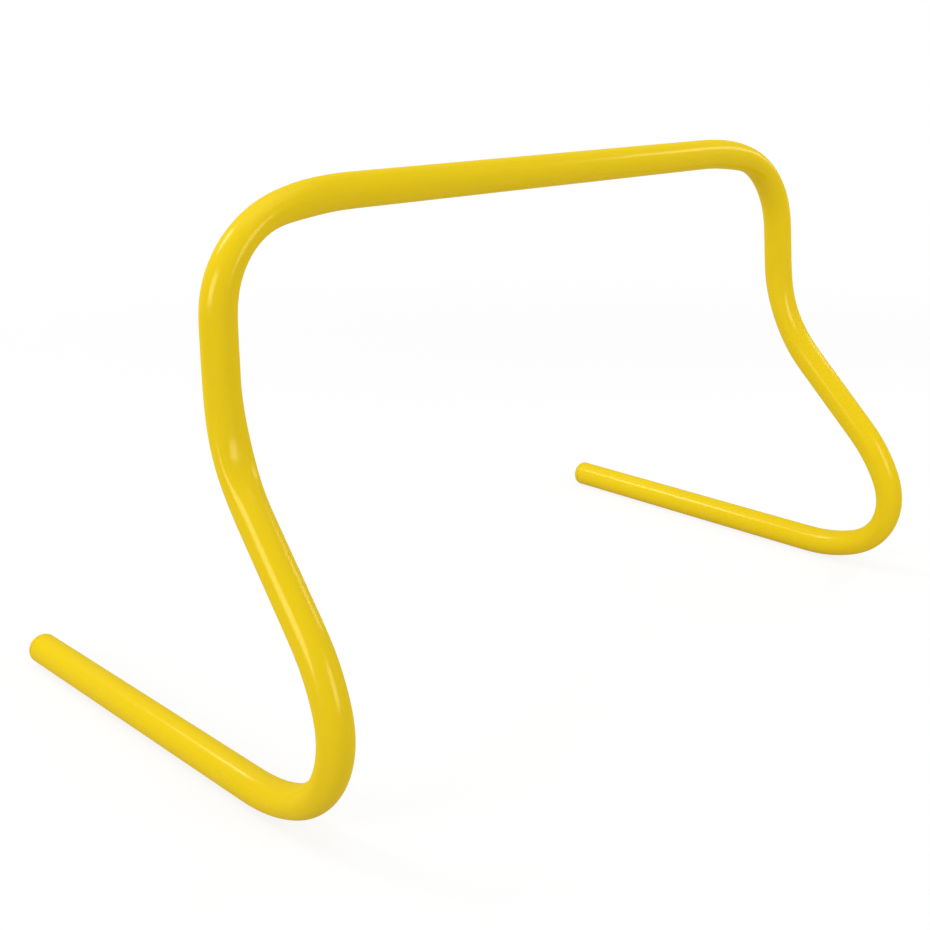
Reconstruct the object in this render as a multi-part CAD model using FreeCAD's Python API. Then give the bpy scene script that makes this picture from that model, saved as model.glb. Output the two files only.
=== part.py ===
import FreeCAD, Part
import math
import os

# Speed hurdle: one bent plastic tube that stands on its own two feet, with a plug in each open end.
# Millimetres. +X runs along the crossbar, +Z is up, the toes point to -Y and the open ends to +Y.
# The origin is on the floor, in the middle of the hurdle's width and depth.

# Overall sizes: width over the outsides of the feet, depth from the toes to the tips of the plugs
OVERALL_WIDTH = 531.0
OVERALL_DEPTH = 309.0
OVERALL_HEIGHT = 310.0

# The tube
TUBE_DIAMETER = 19.0
TUBE_WALL = 2.0

# The corner between the crossbar and the upright: it eases in along the bar, then turns tighter
CORNER_EASE_RADIUS = 205.0
CORNER_EASE_ANGLE = 12.5
CORNER_RADIUS = 54.5

# The leg: the upright leans a little forward, and the knee bends it into the slant, which splays more
UPRIGHT_SPLAY_ANGLE = 2.75
UPRIGHT_LEAN_ANGLE = 3.4
SLANT_SPLAY_ANGLE = 5.0
SLANT_LEAN_ANGLE = 43.6
KNEE_RADIUS = 103.0
UPRIGHT_RUN_SHARE = 0.31

# The toe: the slant turns back under itself into the foot, tightest in the middle of the turn
TOE_EASE_RADIUS = 102.0
TOE_EASE_ANGLE = 22.5
TOE_RADIUS = 42.0

# The end plug: a rounded head flush with the tube, and a hollow ribbed shank inside it
PLUG_HEAD_LENGTH = 5.0
PLUG_RIM_RADIUS = 4.0
PLUG_SHANK_LENGTH = 18.0
PLUG_WALL = 1.6
PLUG_RIB_HEIGHT = 0.5
PLUG_RIB_COUNT = 4
PLUG_CLEARANCE = 0.05

tube_radius = TUBE_DIAMETER / 2
bore_radius = tube_radius - TUBE_WALL

corner_ease = math.radians(CORNER_EASE_ANGLE)
toe_ease = math.radians(TOE_EASE_ANGLE)


def leg_way(splay_angle, lean_angle):
    """Unit vector down the right-hand leg, splayed outwards and leaning forward."""
    splay = math.radians(splay_angle)
    lean = math.radians(lean_angle)
    across = math.sin(splay) * math.cos(lean)
    return FreeCAD.Vector(across, -math.sin(lean), -math.cos(splay) * math.cos(lean))


# Unit vectors along each straight run
along_bar = FreeCAD.Vector(1, 0, 0)
upright_way = leg_way(UPRIGHT_SPLAY_ANGLE, UPRIGHT_LEAN_ANGLE)
slant_way = leg_way(SLANT_SPLAY_ANGLE, SLANT_LEAN_ANGLE)
foot_way = FreeCAD.Vector(0, 1, 0)


class Centreline:
    """A path that grows by straight runs, and by arcs that turn towards a given way."""

    def __init__(self, start, way):
        self.start = start
        self.here = start
        self.way = way
        self.edges = []

    def run(self, length):
        there = self.here + self.way * length
        self.edges.append(Part.LineSegment(self.here, there).toShape())
        self.here = there

    def bend(self, radius, towards, turn):
        side = (towards - self.way * self.way.dot(towards)).normalize()
        across = [side * (radius * (1 - math.cos(angle))) for angle in (turn / 2, turn)]
        onward = [self.way * (radius * math.sin(angle)) for angle in (turn / 2, turn)]
        middle, there = [self.here + a + o for a, o in zip(across, onward)]
        self.edges.append(Part.Arc(self.here, middle, there).toShape())
        self.way = self.way * math.cos(turn) + side * math.sin(turn)
        self.here = there

    def corner(self):
        self.bend(CORNER_EASE_RADIUS, upright_way, corner_ease)
        self.bend(CORNER_RADIUS, upright_way, self.way.getAngle(upright_way))

    def knee(self):
        self.bend(KNEE_RADIUS, slant_way, self.way.getAngle(slant_way))

    def toe(self):
        self.bend(TOE_EASE_RADIUS, foot_way, toe_ease)
        self.bend(TOE_RADIUS, foot_way, self.way.getAngle(foot_way) - toe_ease)
        self.bend(TOE_EASE_RADIUS, foot_way, toe_ease)


def bends_only():
    """The corner, knee and toe joined with no straight runs between them."""
    line = Centreline(FreeCAD.Vector(), along_bar)
    line.corner()
    line.knee()
    line.toe()
    return line


def leg_runs():
    """Lengths of the upright, slant and foot that bring out the overall height and depth."""
    drop = OVERALL_HEIGHT - TUBE_DIAMETER + bends_only().here.z
    slant_share = 1 - UPRIGHT_RUN_SHARE
    leg_run = -drop / (upright_way.z * UPRIGHT_RUN_SHARE + slant_way.z * slant_share)
    toe_reach = TOE_RADIUS + (TOE_EASE_RADIUS - TOE_RADIUS) * math.sin(toe_ease)
    foot_run = OVERALL_DEPTH - tube_radius - toe_reach - PLUG_HEAD_LENGTH
    return leg_run * UPRIGHT_RUN_SHARE, leg_run * slant_share, foot_run


def leg(start):
    """The right-hand leg's centreline, from the end of the crossbar's straight run."""
    upright_run, slant_run, foot_run = leg_runs()
    line = Centreline(start, along_bar)
    line.corner()
    line.run(upright_run)
    line.knee()
    line.run(slant_run)
    line.toe()
    line.run(foot_run)
    return line


def right_leg():
    """The leg moved to where its open end and the crossbar belong."""
    reach = leg(FreeCAD.Vector()).here
    bar_end_x = OVERALL_WIDTH / 2 - tube_radius - reach.x
    bar_y = OVERALL_DEPTH / 2 - PLUG_HEAD_LENGTH - reach.y
    return leg(FreeCAD.Vector(bar_end_x, bar_y, OVERALL_HEIGHT - tube_radius))


def mirrored(shape):
    """The same shape on the other side of the hurdle."""
    return shape.mirror(FreeCAD.Vector(), along_bar)


def hurdle_tube():
    """One round tube from open end to open end, hollow all the way."""
    right = right_leg()
    left_edges = [mirrored(edge) for edge in reversed(right.edges)]
    bar_start = FreeCAD.Vector(-right.start.x, right.start.y, right.start.z)
    bar = Part.LineSegment(bar_start, right.start).toShape()
    spine = Part.Wire(left_edges + [bar] + right.edges)

    def swept(radius):
        ring = Part.Wire(Part.makeCircle(radius, right.here, foot_way))
        return spine.makePipeShell([ring], True, False)

    return swept(tube_radius).cut(swept(bore_radius))


def end_plug():
    """A plug in the right-hand open end: its head covers the tube's end face."""
    rib_radius = bore_radius - PLUG_CLEARANCE
    shank_radius = rib_radius - PLUG_RIB_HEIGHT
    cup_radius = shank_radius - PLUG_WALL
    rib_pitch = PLUG_SHANK_LENGTH / (PLUG_RIB_COUNT + 1)
    rim_centre = FreeCAD.Vector(tube_radius - PLUG_RIM_RADIUS, PLUG_HEAD_LENGTH - PLUG_RIM_RADIUS)
    rim_side = rim_centre + FreeCAD.Vector(PLUG_RIM_RADIUS, 0)
    rim_middle = rim_centre + FreeCAD.Vector(1, 1).normalize() * PLUG_RIM_RADIUS
    rim_top = rim_centre + FreeCAD.Vector(0, PLUG_RIM_RADIUS)

    # Half section from the rim down the outside: x is the radius, y runs out of the tube
    outline = [rim_side, FreeCAD.Vector(tube_radius, 0), FreeCAD.Vector(shank_radius, 0)]
    for rib in range(PLUG_RIB_COUNT):
        crest = -(rib + 1) * rib_pitch
        outline.append(FreeCAD.Vector(shank_radius, crest + PLUG_RIB_HEIGHT))
        outline.append(FreeCAD.Vector(rib_radius, crest))
        outline.append(FreeCAD.Vector(shank_radius, crest - rib_pitch / 2))
    outline.append(FreeCAD.Vector(shank_radius, -PLUG_SHANK_LENGTH))
    outline.append(FreeCAD.Vector(cup_radius, -PLUG_SHANK_LENGTH))
    outline.append(FreeCAD.Vector(cup_radius, -PLUG_WALL))
    outline.append(FreeCAD.Vector(0, -PLUG_WALL))
    outline.append(FreeCAD.Vector(0, PLUG_HEAD_LENGTH))
    outline.append(rim_top)

    edges = list(Part.makePolygon(outline).Edges)
    edges.append(Part.Arc(rim_top, rim_middle, rim_side).toShape())
    half_section = Part.Face(Part.Wire(edges))
    plug = half_section.revolve(FreeCAD.Vector(), foot_way, 360)
    return plug.translated(right_leg().here)


right_plug = end_plug()
nodes = {
    "hurdle_tube": hurdle_tube(),
    "end_plug_right": right_plug,
    "end_plug_left": mirrored(right_plug),
}

os.makedirs("parts", exist_ok=True)
for name, shape in nodes.items():
    shape.exportStep("parts/" + name + ".step")
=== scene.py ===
import math

import bpy
import numpy as np
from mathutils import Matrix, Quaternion, Vector


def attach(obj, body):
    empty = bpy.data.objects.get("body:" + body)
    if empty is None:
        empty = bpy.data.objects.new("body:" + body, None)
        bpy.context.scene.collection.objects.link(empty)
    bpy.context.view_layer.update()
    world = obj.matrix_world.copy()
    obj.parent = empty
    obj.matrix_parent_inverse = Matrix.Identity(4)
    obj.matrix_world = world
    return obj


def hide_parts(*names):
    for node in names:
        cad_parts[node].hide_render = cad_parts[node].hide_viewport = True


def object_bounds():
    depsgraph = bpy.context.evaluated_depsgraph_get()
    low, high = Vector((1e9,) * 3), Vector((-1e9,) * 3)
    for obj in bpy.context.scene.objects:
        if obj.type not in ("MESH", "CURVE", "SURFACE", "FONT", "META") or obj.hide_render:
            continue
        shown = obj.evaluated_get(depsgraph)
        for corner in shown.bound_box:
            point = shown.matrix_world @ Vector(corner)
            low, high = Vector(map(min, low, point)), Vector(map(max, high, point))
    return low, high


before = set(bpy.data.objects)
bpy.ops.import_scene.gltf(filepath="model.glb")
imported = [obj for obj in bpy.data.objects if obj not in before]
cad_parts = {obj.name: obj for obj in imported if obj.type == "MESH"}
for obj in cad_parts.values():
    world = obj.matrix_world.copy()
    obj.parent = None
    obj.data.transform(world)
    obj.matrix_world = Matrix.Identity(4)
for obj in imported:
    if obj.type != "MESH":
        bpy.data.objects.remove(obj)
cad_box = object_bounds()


# Bent tube. One length of extruded yellow plastic tube, warmed and bent round formers into
# crossbar, corners, legs, toes and feet, and free-standing. The bends come out a little flat,
# and the left-hand knee and toe are pressed in on the inside.
tube_radius = 0.0095
tube_wall = 0.002
tube_end_bevel = 0.0004
bar_y = -0.04288
bar_half_run = 0.151004
upright_run = 0.029135
slant_run = 0.064849
foot_run = 0.229539
upright_splay, upright_lean = math.radians(2.75), math.radians(3.4)
slant_splay, slant_lean = math.radians(5.0), math.radians(43.6)
corner_ease_radius, corner_ease_turn = 0.205, math.radians(12.5)
corner_radius = 0.0545
knee_radius = 0.103
toe_ease_radius, toe_ease_turn = 0.102, math.radians(22.5)
toe_radius = 0.042
corner_flat, corner_bulge = 0.18, 0.09
knee_flat, knee_bulge = 0.14, 0.12
toe_flat, toe_bulge = 0.11, 0.04
knee_press, knee_press_reach, knee_press_spread = 0.0019, 0.027, math.radians(78)
knee_press_drop = 0.008
toe_press, toe_press_reach, toe_press_spread = 0.0016, 0.018, math.radians(65)


def leg_way(splay, lean):
    """The way down the right-hand leg, splayed outwards and leaning forward."""
    across = math.sin(splay) * math.cos(lean)
    return Vector((across, -math.sin(lean), -math.cos(splay) * math.cos(lean)))


along_bar = Vector((1, 0, 0))
backward = Vector((0, 1, 0))
upright_way = leg_way(upright_splay, upright_lean)
slant_way = leg_way(slant_splay, slant_lean)
corner_axis = along_bar.cross(upright_way)
knee_axis = upright_way.cross(slant_way)
toe_axis = slant_way.cross(backward)


class TubeLine:
    """Middle line of half the tube, grown in small steps from the middle of the crossbar."""

    step = 0.001

    def __init__(self, start, way):
        self.points = [start]
        self.way = way
        self.length = 0.0
        self.bends = []
        self.presses = []

    def run(self, length):
        start = self.points[-1]
        count = max(1, round(length / self.step))
        self.points += [start + self.way * (length * n / count) for n in range(1, count + 1)]
        self.length += length

    def bend(self, radius, towards, turn):
        start, way = self.points[-1], self.way
        side = (towards - way * way.dot(towards)).normalized()
        count = max(1, round(radius * turn / self.step))
        for n in range(1, count + 1):
            angle = turn * n / count
            onward = way * (radius * math.sin(angle))
            across = side * (radius * (1 - math.cos(angle)))
            self.points.append(start + onward + across)
        self.way = way * math.cos(turn) + side * math.sin(turn)
        self.length += radius * turn

    def flatten_since(self, begin, axis, flat, bulge):
        """Notes that the tube is flattest half way between begin and here."""
        middle, half_length = (begin + self.length) / 2, (self.length - begin) / 2
        self.bends.append((middle, half_length, axis.normalized(), flat, bulge))

    def press_in(self, middle, axis, depth, reach, spread):
        """Notes that the inside of the left-hand bend is pressed in, most of all at the middle."""
        self.presses.append((middle, reach, axis.normalized(), depth, spread))


line = TubeLine(Vector((0, bar_y, cad_box[1].z - tube_radius)), along_bar)
line.run(bar_half_run)
corner_flat_begin = line.length + corner_ease_radius * corner_ease_turn / 2
line.bend(corner_ease_radius, upright_way, corner_ease_turn)
line.bend(corner_radius, upright_way, line.way.angle(upright_way))
line.flatten_since(corner_flat_begin, corner_axis, corner_flat, corner_bulge)
line.run(upright_run)
knee_begin = line.length
line.bend(knee_radius, slant_way, line.way.angle(slant_way))
line.flatten_since(knee_begin, knee_axis, knee_flat, knee_bulge)
knee_press_middle = (knee_begin + line.length) / 2 + knee_press_drop
line.press_in(knee_press_middle, knee_axis, knee_press, knee_press_reach, knee_press_spread)
line.run(slant_run)
toe_begin = line.length
line.bend(toe_ease_radius, backward, toe_ease_turn)
line.bend(toe_radius, backward, line.way.angle(backward) - toe_ease_turn)
line.bend(toe_ease_radius, backward, toe_ease_turn)
line.flatten_since(toe_begin, toe_axis, toe_flat, toe_bulge)
toe_press_middle = (toe_begin + line.length) / 2
line.press_in(toe_press_middle, toe_axis, toe_press, toe_press_reach, toe_press_spread)
line.run(foot_run)

half_line = np.array(line.points)
whole_line = np.concatenate([half_line[:0:-1] * (-1, 1, 1), half_line])


def evenly_spaced(points, spacing):
    """Points the same distance apart along a line, and how far along each is from its middle."""
    gaps = np.linalg.norm(np.diff(points, axis=0), axis=1)
    reached = np.concatenate([[0], np.cumsum(gaps)])
    along = np.linspace(0, reached[-1], round(reached[-1] / spacing) + 1)
    spaced = np.column_stack([np.interp(along, reached, points[:, axis]) for axis in range(3)])
    return spaced, along - reached[-1] / 2


def eased(points, spacing, ease):
    """The line with each change of bend spread by a bell curve, as warm plastic takes it."""
    bell_reach = 3 * ease
    reach = math.ceil(bell_reach / spacing)
    weights = np.exp(-0.5 * (np.arange(-reach, reach + 1) * spacing / ease) ** 2)
    weights /= weights.sum()
    before = points[0] + (points[0] - points[1]) * np.arange(reach, 0, -1)[:, None]
    after = points[-1] + (points[-1] - points[-2]) * np.arange(1, reach + 1)[:, None]
    longer = np.concatenate([before, points, after])
    return np.column_stack([np.convolve(longer[:, axis], weights, "valid") for axis in range(3)])


ring_spacing = 0.0025
bend_ease = 0.005
ring_sides = 96
centres, along = evenly_spaced(whole_line, ring_spacing)
centres = eased(centres, ring_spacing, bend_ease)
ways = np.gradient(centres, axis=0)
ways /= np.linalg.norm(ways, axis=1)[:, None]

# Each ring starts where the left-hand foot faces the floor, carried along without a twist
starts = np.empty_like(centres)
previous = np.array((0.0, 0.0, -1.0))
for ring, way in enumerate(ways):
    previous = previous - way * previous.dot(way)
    previous /= np.linalg.norm(previous)
    starts[ring] = previous
sides = np.cross(ways, starts)


def swell(away):
    """1 in the middle of a bend, and nothing from its ends on."""
    return math.cos(min(away, 1) * math.pi / 2) ** 2


def inward_at(ring, axis):
    """Towards the middle of the bend, for the bend's axis on the right-hand leg."""
    axis_here = np.array(axis) * (math.copysign(1, along[ring]), 1, 1)
    inward = np.cross(axis_here, ways[ring])
    return inward / np.linalg.norm(inward)


def tube_ring(ring, radius, shift):
    """Points round the tube at one ring, flattened and pressed in by the bends that reach it."""
    angles = np.linspace(0, math.tau, ring_sides, endpoint=False)
    round_out = np.cos(angles)[:, None] * starts[ring] + np.sin(angles)[:, None] * sides[ring]
    out = round_out
    for middle, half_length, axis, flat, bulge in line.bends:
        share = swell(abs(abs(along[ring]) - middle) / half_length)
        if share:
            inward = inward_at(ring, axis)
            wide = np.cross(inward, ways[ring])
            out = out - np.outer(out @ inward, inward) * (flat * share)
            out = out + np.outer(out @ wide, wide) * (bulge * share)
    for middle, reach, axis, depth, spread in line.presses:
        share = swell(abs(along[ring] + middle) / reach)
        if share:
            inward = inward_at(ring, axis)
            away = np.arccos(np.clip(round_out @ inward, -1, 1)) / spread
            pressed = np.array([swell(one) for one in away])
            out = out - np.outer(pressed, inward) * (depth / tube_radius * share)
    return centres[ring] + ways[ring] * shift + out * radius


bore_radius = tube_radius - tube_wall
last = len(centres) - 1
bore_stride = 5
outside = [(ring, tube_radius, 0.0) for ring in range(1, last)]
outside.insert(0, (0, tube_radius, tube_end_bevel))
outside.append((last, tube_radius, -tube_end_bevel))
bore = [(ring, bore_radius, 0.0) for ring in range(last, 0, -bore_stride)]
far_rim = [(last, tube_radius - tube_end_bevel, 0.0)]
near_rim = [(0, bore_radius, 0.0), (0, tube_radius - tube_end_bevel, 0.0)]
rings = outside + far_rim + bore + near_rim

tube_points = np.concatenate([tube_ring(*ring) for ring in rings])
tube_faces = []
tube_map = []
for ring in range(len(rings)):
    onward = (ring + 1) % len(rings)
    length_here = along[rings[ring][0]]
    length_onward = along[rings[onward][0]]
    for side in range(ring_sides):
        turned = (side + 1) % ring_sides
        tube_faces.append((
            ring * ring_sides + side, ring * ring_sides + turned,
            onward * ring_sides + turned, onward * ring_sides + side,
        ))
        tube_map += [
            (side / ring_sides, length_here), ((side + 1) / ring_sides, length_here),
            ((side + 1) / ring_sides, length_onward), (side / ring_sides, length_onward),
        ]


def make_piece(name, points, faces, sharp_turn):
    """A mesh object at the frame's origin, smooth but for edges sharper than the turn."""
    mesh = bpy.data.meshes.new(name)
    mesh.from_pydata([tuple(point) for point in points], [], faces)
    mesh.validate()
    mesh.shade_smooth()
    mesh.set_sharp_from_angle(angle=sharp_turn)
    piece = bpy.data.objects.new(name, mesh)
    bpy.context.scene.collection.objects.link(piece)
    return piece


sharp_turn = math.radians(40)
tube = make_piece("tube", tube_points, tube_faces, sharp_turn)
tube_lie = tube.data.uv_layers.new(name="tube_lie")
tube_lie.uv.foreach_set("vector", np.array(tube_map, dtype=np.float32).ravel())


def add_node(tree, kind, settings=None, **inputs):
    """A node of that kind. Inputs are values, or sockets to link from.

    In an input's name _ stands for a space, and i with a number for the input of that number.
    """
    node = tree.nodes.new("ShaderNode" + kind)
    for name, value in (settings or {}).items():
        setattr(node, name, value)
    for name, value in inputs.items():
        numbered = name[0] == "i" and name[1:].isdigit()
        socket = node.inputs[int(name[1:]) if numbered else name.replace("_", " ")]
        if isinstance(value, bpy.types.NodeSocket):
            tree.links.new(value, socket)
        else:
            socket.default_value = value
    return node


def worked_out(tree, operation, *values):
    """What a Math node makes of the values."""
    inputs = {"i" + str(n): value for n, value in enumerate(values)}
    return add_node(tree, "Math", {"operation": operation}, **inputs).outputs["Value"]


def stretched(tree, value, low, high, to_low=0.0, to_high=1.0):
    """The value, with its run from low to high laid over the run from to_low to to_high."""
    return add_node(
        tree, "MapRange", Value=value, From_Min=low, From_Max=high, To_Min=to_low, To_Max=to_high,
    ).outputs["Result"]


def blended(tree, share, first, second):
    """The first colour where the share is 0, and the second where it is 1."""
    mix = add_node(tree, "Mix", {"data_type": "RGBA"}, i0=share, i6=first, i7=second)
    return mix.outputs[2]


# Gloss skin: shared by the tube and the plugs. Clouded colour, orange peel and floor scuffs.
cloud_scale, cloud_detail, cloud_roughness = 11.0, 4.0, 0.55
cloud_low, cloud_high = 0.3, 0.7
cloud_dullness = 0.03
cloud_gloss_most, cloud_gloss_least = 1.12, 0.88
peel_detail = 2.0
mark_scale, mark_detail, mark_bend = 210.0, 3.0, 1.6
mark_edge, mark_core = 0.60, 0.68
scuff_height, scuffs_above = 0.030, 0.06
scuff_pale_yellow = (0.80, 0.66, 0.16, 1)
scuff_dullness, scuff_dent, scuff_gloss_loss = 0.35, 0.8, 0.9

gloss_skin = bpy.data.node_groups.new("gloss_skin", "ShaderNodeTree")
for in_out, name, kind in (
    ("INPUT", "Place", "Vector"), ("INPUT", "Colour", "Color"), ("INPUT", "Deep Colour", "Color"),
    ("INPUT", "Roughness", "Float"), ("INPUT", "Gloss", "Float"), ("INPUT", "Scuffs", "Float"),
    ("INPUT", "Peel Scale", "Float"),
    ("OUTPUT", "Colour", "Color"), ("OUTPUT", "Roughness", "Float"), ("OUTPUT", "Gloss", "Float"),
    ("OUTPUT", "Height", "Float"),
):
    gloss_skin.interface.new_socket(name, in_out=in_out, socket_type="NodeSocket" + kind)
given = gloss_skin.nodes.new("NodeGroupInput").outputs
made = gloss_skin.nodes.new("NodeGroupOutput").inputs
clouds = add_node(
    gloss_skin, "TexNoise", Vector=given["Place"],
    Scale=cloud_scale, Detail=cloud_detail, Roughness=cloud_roughness,
).outputs["Fac"]
clouded = stretched(gloss_skin, clouds, cloud_low, cloud_high)
tint = blended(gloss_skin, clouded, given["Deep Colour"], given["Colour"])
peel = add_node(
    gloss_skin, "TexNoise", Vector=given["Place"], Scale=given["Peel Scale"], Detail=peel_detail,
).outputs["Fac"]

# Scuffs are short thin marks, thick where the plastic meets the floor and rare above the toes
marks = add_node(
    gloss_skin, "TexNoise", Vector=given["Place"],
    Scale=mark_scale, Detail=mark_detail, Distortion=mark_bend,
).outputs["Fac"]
mark_cores = stretched(gloss_skin, marks, mark_edge, mark_core)
height = add_node(gloss_skin, "SeparateXYZ", Vector=given["Place"]).outputs["Z"]
near_floor = stretched(gloss_skin, height, scuff_height, 0.0, scuffs_above)
worn = worked_out(gloss_skin, "MULTIPLY", mark_cores, near_floor)
scuffs = worked_out(gloss_skin, "MULTIPLY", worn, given["Scuffs"])
scuffed = blended(gloss_skin, scuffs, tint, scuff_pale_yellow)

cloud_shift = stretched(gloss_skin, clouds, cloud_low, cloud_high, -cloud_dullness, cloud_dullness)
uneven = worked_out(gloss_skin, "ADD", given["Roughness"], cloud_shift)
dulled = worked_out(gloss_skin, "MULTIPLY_ADD", scuffs, scuff_dullness, uneven)
dented = worked_out(gloss_skin, "MULTIPLY_ADD", scuffs, -scuff_dent, peel)
cloud_gloss = stretched(
    gloss_skin, clouds, cloud_low, cloud_high, cloud_gloss_most, cloud_gloss_least,
)
gloss_left = worked_out(gloss_skin, "MULTIPLY_ADD", scuffs, -scuff_gloss_loss, cloud_gloss)
glossed = worked_out(gloss_skin, "MULTIPLY", gloss_left, given["Gloss"])
gloss_skin.links.new(scuffed, made["Colour"])
gloss_skin.links.new(dulled, made["Roughness"])
gloss_skin.links.new(glossed, made["Gloss"])
gloss_skin.links.new(dented, made["Height"])

# The plastic's sheen is all in its coat, a thin clear gloss over the colour
peel_strength, peel_depth = 0.008, 0.0002
bare_sheen, metal_share = 0.0, 0.02
coat_ior, coat_roughness = 2.2, 0.20


def gloss_plastic(name, colour, deep_colour, roughness, gloss, scuffs, peel_scale):
    """Yellow plastic with the gloss skin, and the nodes that a section may add to."""
    finish = bpy.data.materials.new(name)
    finish.use_nodes = True
    tree = finish.node_tree
    shader = tree.nodes["Principled BSDF"]
    place = add_node(tree, "TexCoord").outputs["Object"]
    skin = add_node(
        tree, "Group", {"node_tree": gloss_skin}, Place=place, Colour=(*colour, 1),
        Deep_Colour=(*deep_colour, 1), Roughness=roughness, Gloss=gloss, Scuffs=scuffs,
        Peel_Scale=peel_scale,
    ).outputs
    bump = add_node(
        tree, "Bump", Height=skin["Height"], Strength=peel_strength, Distance=peel_depth,
    )
    tree.links.new(skin["Colour"], shader.inputs["Base Color"])
    tree.links.new(skin["Roughness"], shader.inputs["Roughness"])
    tree.links.new(bump.outputs["Normal"], shader.inputs["Normal"])
    tree.links.new(skin["Gloss"], shader.inputs["Coat Weight"])
    shader.inputs["Specular IOR Level"].default_value = bare_sheen
    shader.inputs["Metallic"].default_value = metal_share
    shader.inputs["Coat IOR"].default_value = coat_ior
    shader.inputs["Coat Roughness"].default_value = coat_roughness
    return finish, skin, bump


tube_yellow = (0.82, 0.588, 0.001)
tube_deep_yellow = (0.80, 0.572, 0.001)
tube_roughness, tube_gloss, tube_scuffs = 0.22, 0.095, 0.25
tube_peel_scale = 520.0
die_line_scale, die_line_detail, die_line_roughness = 14.0, 5.0, 0.6
die_line_height = 0.6
tube_finish, skin, bump = gloss_plastic(
    "tube_gloss_yellow", tube_yellow, tube_deep_yellow,
    tube_roughness, tube_gloss, tube_scuffs, tube_peel_scale,
)
tree = tube_finish.node_tree
# Die lines: faint streaks that the extruder's die leaves along the tube, one pattern all the way
lie_map = add_node(tree, "UVMap", {"uv_map": "tube_lie"}).outputs["UV"]
lie = add_node(tree, "SeparateXYZ", Vector=lie_map).outputs
turn = worked_out(tree, "MULTIPLY", lie["X"], math.tau)
die_place = add_node(
    tree, "CombineXYZ", X=worked_out(tree, "COSINE", turn), Y=worked_out(tree, "SINE", turn),
    Z=lie["Y"],
).outputs["Vector"]
die_lines = add_node(
    tree, "TexNoise", Vector=die_place,
    Scale=die_line_scale, Detail=die_line_detail, Roughness=die_line_roughness,
).outputs["Fac"]
tube_height = worked_out(tree, "MULTIPLY_ADD", die_lines, die_line_height, skin["Height"])
tree.links.new(tube_height, bump.inputs["Height"])
tube.data.materials.append(tube_finish)
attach(tube, "root")
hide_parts("hurdle_tube")


# End plugs. Push-in plugs moulded in the same yellow plastic, one in each open end of the tube.
# The rounded head covers the tube's end face, flush with its skin and with a fine seam between,
# and a hollow shank with four ribs grips the bore. Only the head is seen.
plug_head = 0.005
plug_rim_radius = 0.004
plug_seam_bevel = 0.0003
plug_shank = 0.018
plug_wall = 0.0016
plug_rib = 0.0005
plug_rib_count = 4
plug_clearance = 0.00005
gate_radius, gate_floor_share, gate_depth = 0.0012, 0.6, 0.00025
plug_sides = 96
rim_steps = 10

rib_radius = bore_radius - plug_clearance
shank_radius = rib_radius - plug_rib
cup_radius = shank_radius - plug_wall
rib_pitch = plug_shank / (plug_rib_count + 1)

# Half section as (radius, distance out of the tube), from the gate mark in the face to the cup
plug_section = [
    (0, plug_head - gate_depth), (gate_radius * gate_floor_share, plug_head - gate_depth),
    (gate_radius, plug_head),
]
for step in range(rim_steps + 1):
    angle = math.pi / 2 * (1 - step / rim_steps)
    plug_section.append((
        tube_radius - plug_rim_radius * (1 - math.cos(angle)),
        plug_head - plug_rim_radius * (1 - math.sin(angle)),
    ))
plug_section += [
    (tube_radius, plug_seam_bevel), (tube_radius - plug_seam_bevel, 0), (shank_radius, 0),
]
for rib in range(plug_rib_count):
    crest = -(rib + 1) * rib_pitch
    plug_section += [
        (shank_radius, crest + plug_rib), (rib_radius, crest),
        (shank_radius, crest - rib_pitch / 2),
    ]
plug_section += [
    (shank_radius, -plug_shank), (cup_radius, -plug_shank), (cup_radius, -plug_wall),
    (0, -plug_wall),
]


def turned_plug(middle):
    """Points and faces of the half section turned about the line of the foot."""
    points, faces, rows = [], [], []
    for radius, out in plug_section:
        rows.append(list(range(len(points), len(points) + (plug_sides if radius else 1))))
        for corner in range(len(rows[-1])):
            angle = math.tau * corner / plug_sides
            across, down = radius * math.cos(angle), radius * math.sin(angle)
            points.append(middle + Vector((across, out, -down)))
    for row, onward in zip(rows, rows[1:]):
        for corner in range(plug_sides):
            turned = (corner + 1) % plug_sides
            face = (
                row[corner % len(row)], row[turned % len(row)],
                onward[turned % len(onward)], onward[corner % len(onward)],
            )
            faces.append(list(dict.fromkeys(face)))
    return points, faces


plug_yellow = (0.81, 0.580, 0.001)
plug_deep_yellow = (0.79, 0.562, 0.001)
plug_roughness, plug_gloss, plug_scuffs = 0.24, 0.095, 0.2
plug_peel_scale = 700.0
plug_finish, _, _ = gloss_plastic(
    "plug_gloss_yellow", plug_yellow, plug_deep_yellow,
    plug_roughness, plug_gloss, plug_scuffs, plug_peel_scale,
)
foot_middle_x = cad_box[1].x - tube_radius
tube_end_y = cad_box[1].y - plug_head
for side, place in (("right", foot_middle_x), ("left", -foot_middle_x)):
    points, faces = turned_plug(Vector((place, tube_end_y, tube_radius)))
    plug = make_piece("plug_" + side, points, faces, sharp_turn)
    plug.data.materials.append(plug_finish)
    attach(plug, "root")
    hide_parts("end_plug_" + side)


# Floor and backdrop. A plain white studio floor, with the same white behind it.
# Away from the hurdle it runs out to plain white, and round it the floor keeps the soft shadow.
floor_radius = 9.0
floor_sides = 96
floor_white = (0.97, 0.97, 0.97)
floor_bounce = (0.64, 0.61, 0.58)
floor_roughness, floor_sheen = 0.9, 0.1
shadow_keep = 0.17
shadow_from, shadow_to = 0.45, 1.6
backdrop_white = (1, 1, 1, 1)
room_light = 0.45

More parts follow.
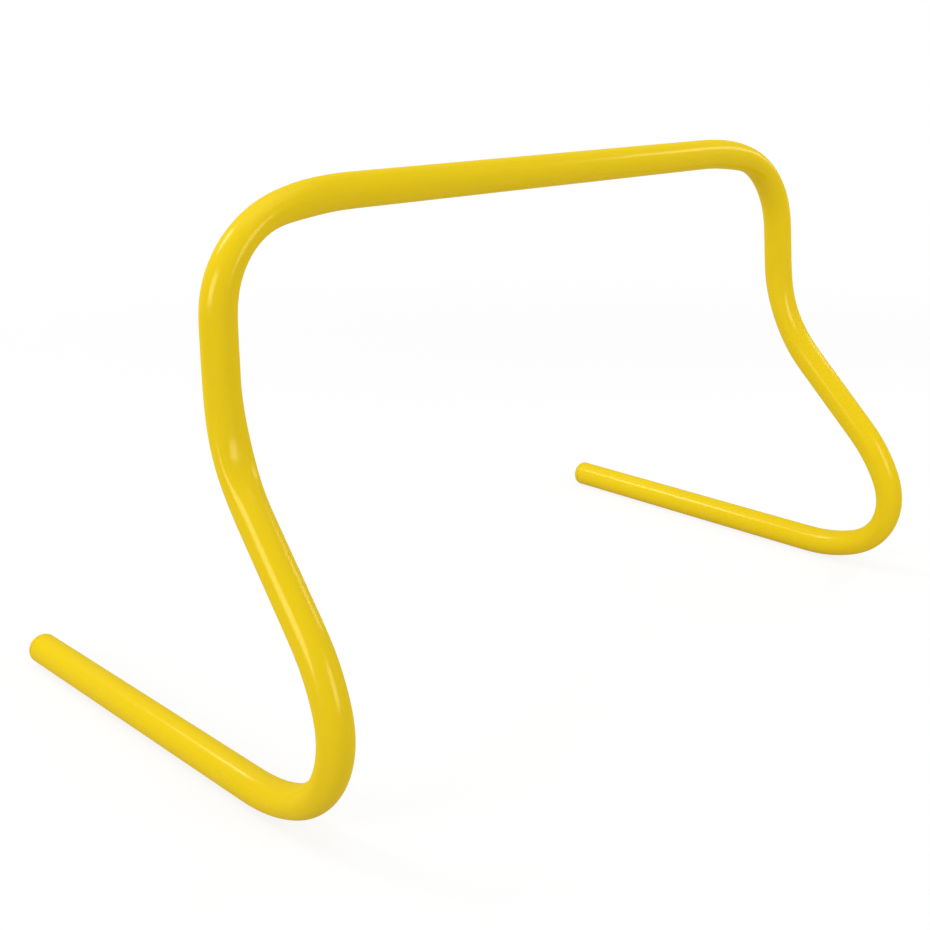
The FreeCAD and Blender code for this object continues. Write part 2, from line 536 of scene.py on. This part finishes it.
floor_points = [(0, 0, 0)]
floor_faces = []
for corner in range(floor_sides):
    angle = math.tau * corner / floor_sides
    floor_points.append((floor_radius * math.cos(angle), floor_radius * math.sin(angle), 0))
    floor_faces.append((0, corner + 1, (corner + 1) % floor_sides + 1))
floor = make_piece("floor", floor_points, floor_faces, sharp_turn)
floor_finish = bpy.data.materials.new("white_floor")
floor_finish.use_nodes = True
tree = floor_finish.node_tree
shader = tree.nodes["Principled BSDF"]
shader.inputs["Roughness"].default_value = floor_roughness
shader.inputs["Specular IOR Level"].default_value = floor_sheen


def seen_straight(tree):
    """1 for what the camera sees, straight or in gloss or glass, and 0 for light on the object."""
    path = add_node(tree, "LightPath").outputs
    seen_or_gloss = worked_out(tree, "MAXIMUM", path["Is Camera Ray"], path["Is Glossy Ray"])
    return worked_out(tree, "MAXIMUM", seen_or_gloss, path["Is Transmission Ray"])


seen = seen_straight(tree)
floor_tone = blended(tree, seen, (*floor_bounce, 1), (*floor_white, 1))
tree.links.new(floor_tone, shader.inputs["Base Color"])
floor_place = add_node(tree, "TexCoord").outputs["Object"]
distance = add_node(tree, "VectorMath", {"operation": "LENGTH"}, i0=floor_place).outputs["Value"]
whiteness = add_node(
    tree, "MapRange", {"interpolation_type": "SMOOTHSTEP"}, Value=distance,
    From_Min=shadow_from, From_Max=shadow_to, To_Min=1 - shadow_keep, To_Max=1.0,
).outputs["Result"]
white_share = worked_out(tree, "MULTIPLY", whiteness, seen)
plain_white = add_node(tree, "Emission", Color=backdrop_white, Strength=1.0).outputs["Emission"]
floor_mix = add_node(
    tree, "MixShader", i0=white_share, i1=shader.outputs["BSDF"], i2=plain_white,
).outputs["Shader"]
tree.links.new(floor_mix, tree.nodes["Material Output"].inputs["Surface"])
floor.data.materials.append(floor_finish)

room = bpy.data.worlds.new("white_room")
room.use_nodes = True
bpy.context.scene.world = room
tree = room.node_tree
backdrop = tree.nodes["Background"].inputs
backdrop["Color"].default_value = backdrop_white
room_level = stretched(tree, seen_straight(tree), 0.0, 1.0, room_light, 1.0)
tree.links.new(room_level, backdrop["Strength"])


# Studio light. Wide soft panels overhead and behind give the level, and the panels at the back
# left, left, front and right give the streaks along the gloss. Turn and rise are degrees round
# the hurdle from its front and up from its middle, and the other lengths are metres.
light_middle = Vector((0, 0, 0.13))


def soft_panel(name, turn, rise, away, width, tall, watts, tilt=0):
    """A soft panel that faces the middle of the hurdle, tilted in its own plane, and isn't seen."""
    turn, rise = math.radians(turn), math.radians(rise)
    level = math.cos(rise)
    back = Vector((math.sin(turn) * level, -math.cos(turn) * level, math.sin(rise)))
    panel = bpy.data.lights.new(name, "AREA")
    panel.shape = "RECTANGLE"
    panel.size, panel.size_y = width, tall
    panel.energy = watts
    holder = bpy.data.objects.new(name, panel)
    holder.location = light_middle + back * away
    tilted = Quaternion((0, 0, 1), math.radians(tilt))
    holder.rotation_euler = ((-back).to_track_quat("-Z", "Y") @ tilted).to_euler()
    holder.visible_camera = False
    bpy.context.scene.collection.objects.link(holder)


soft_panel("overhead_panel", turn=-10, rise=85, away=2.0, width=1.4, tall=1.4, watts=6.3)
soft_panel("back_panel", turn=-165, rise=60, away=2.0, width=1.4, tall=1.4, watts=4.6)
soft_panel("back_left_panel", turn=-150, rise=41, away=1.65, width=0.36, tall=0.32, watts=5.2)
soft_panel("left_panel", turn=-91, rise=23, away=4.5, width=1.90, tall=1.80, watts=75.0)
soft_panel("front_panel", turn=7, rise=22, away=1.7, width=0.58, tall=0.66, watts=7.0)
soft_panel("right_panel", turn=72, rise=29, away=0.94, width=0.16, tall=0.44, watts=1.25, tilt=47)


# Camera. It stands before the left-hand leg, a little above the crossbar, and looks slightly
# down. Its place, aim, roll and lens were fitted to the photograph's view of the tube.
camera_sensor, camera_lens = 36.0, 51.781
camera_stand = (-0.59216, -0.5961, 0.37311)
camera_aim = Vector((0.65429, 0.6937, -0.30114))
camera_roll = Quaternion((0, 0, 1), math.radians(-0.516))
camera = bpy.data.cameras.new("camera")
camera.sensor_width = camera_sensor
camera.lens = camera_lens
camera_place = bpy.data.objects.new("camera", camera)
camera_place.location = camera_stand
camera_place.rotation_euler = (camera_aim.to_track_quat("-Z", "Y") @ camera_roll).to_euler()
bpy.context.scene.collection.objects.link(camera_place)
bpy.context.scene.camera = camera_place
bpy.context.scene.view_settings.view_transform = "Standard"
